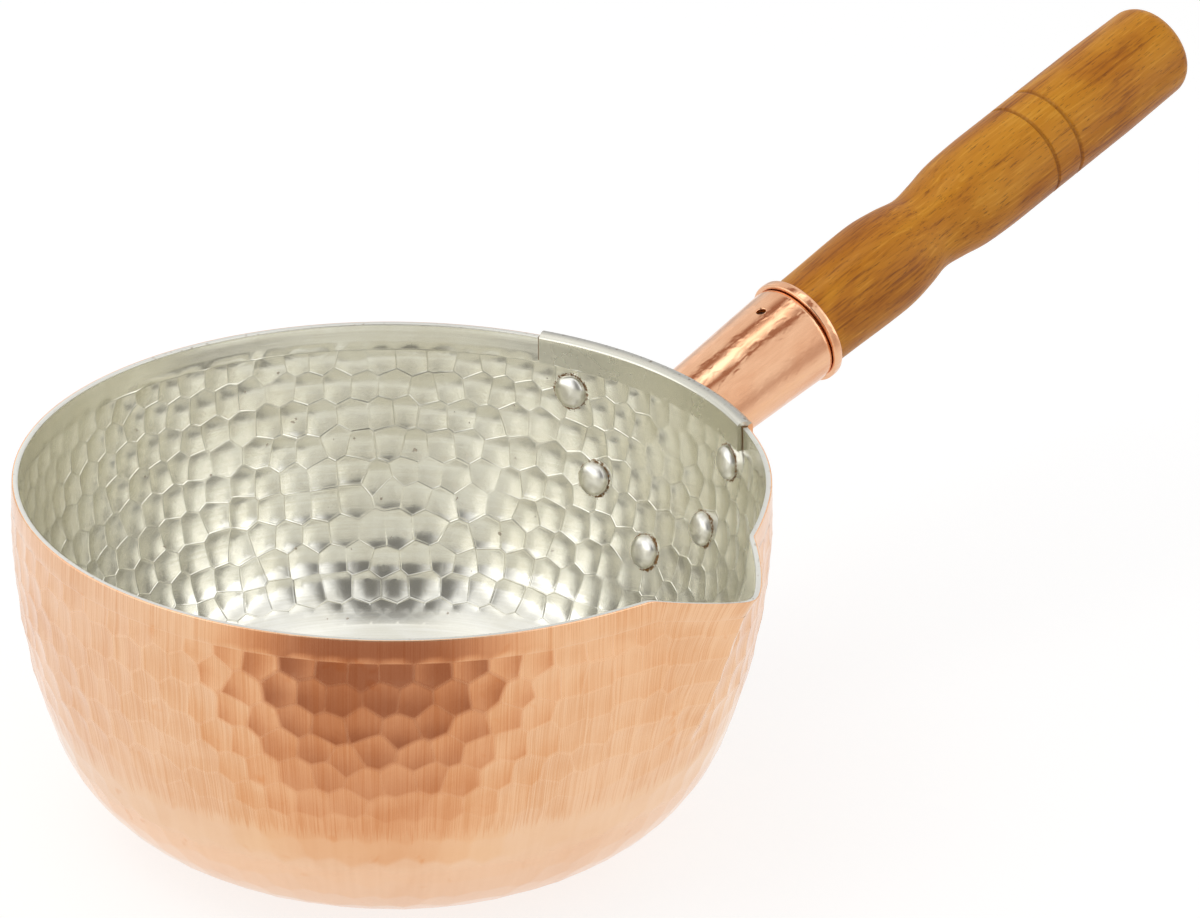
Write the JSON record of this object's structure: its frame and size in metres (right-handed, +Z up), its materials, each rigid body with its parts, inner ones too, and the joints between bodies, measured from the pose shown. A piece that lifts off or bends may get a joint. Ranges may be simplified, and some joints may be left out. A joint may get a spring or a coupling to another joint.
{
  "type": "yukihira saucepan",
  "caption": "Hammered copper saucepan with a pouring spout, a tinned inside, a riveted bracket hooked over the rim and a turned wooden handle in a conical socket.",
  "frame": {"origin": "centre of the flat base, on its underside", "axes": "+Z up out of the bowl, +X towards the handle, so the spout is near -Y"},
  "size_m": [0.3689, 0.1941, 0.1454],
  "materials": {
    "hammered_copper": "hammered and brushed copper, tinned inside",
    "polished_copper": "polished copper",
    "tinned_copper": "copper with a satin tin coat",
    "varnished_wood": "turned hardwood under clear amber varnish",
    "nail_steel": "dark iron"
  },
  "bodies": {
    "root": {"pan_bowl": "hammered_copper", "handle_bracket": "tinned_copper", "handle_socket": "polished_copper", "socket_collar": "polished_copper", "wooden_handle": "varnished_wood", "handle_nail": "nail_steel", "rivet_top_left": "tinned_copper", "rivet_top_right": "tinned_copper", "rivet_middle_left": "tinned_copper", "rivet_middle_right": "tinned_copper", "rivet_bottom": "tinned_copper"}
  },
  "joints": []
}
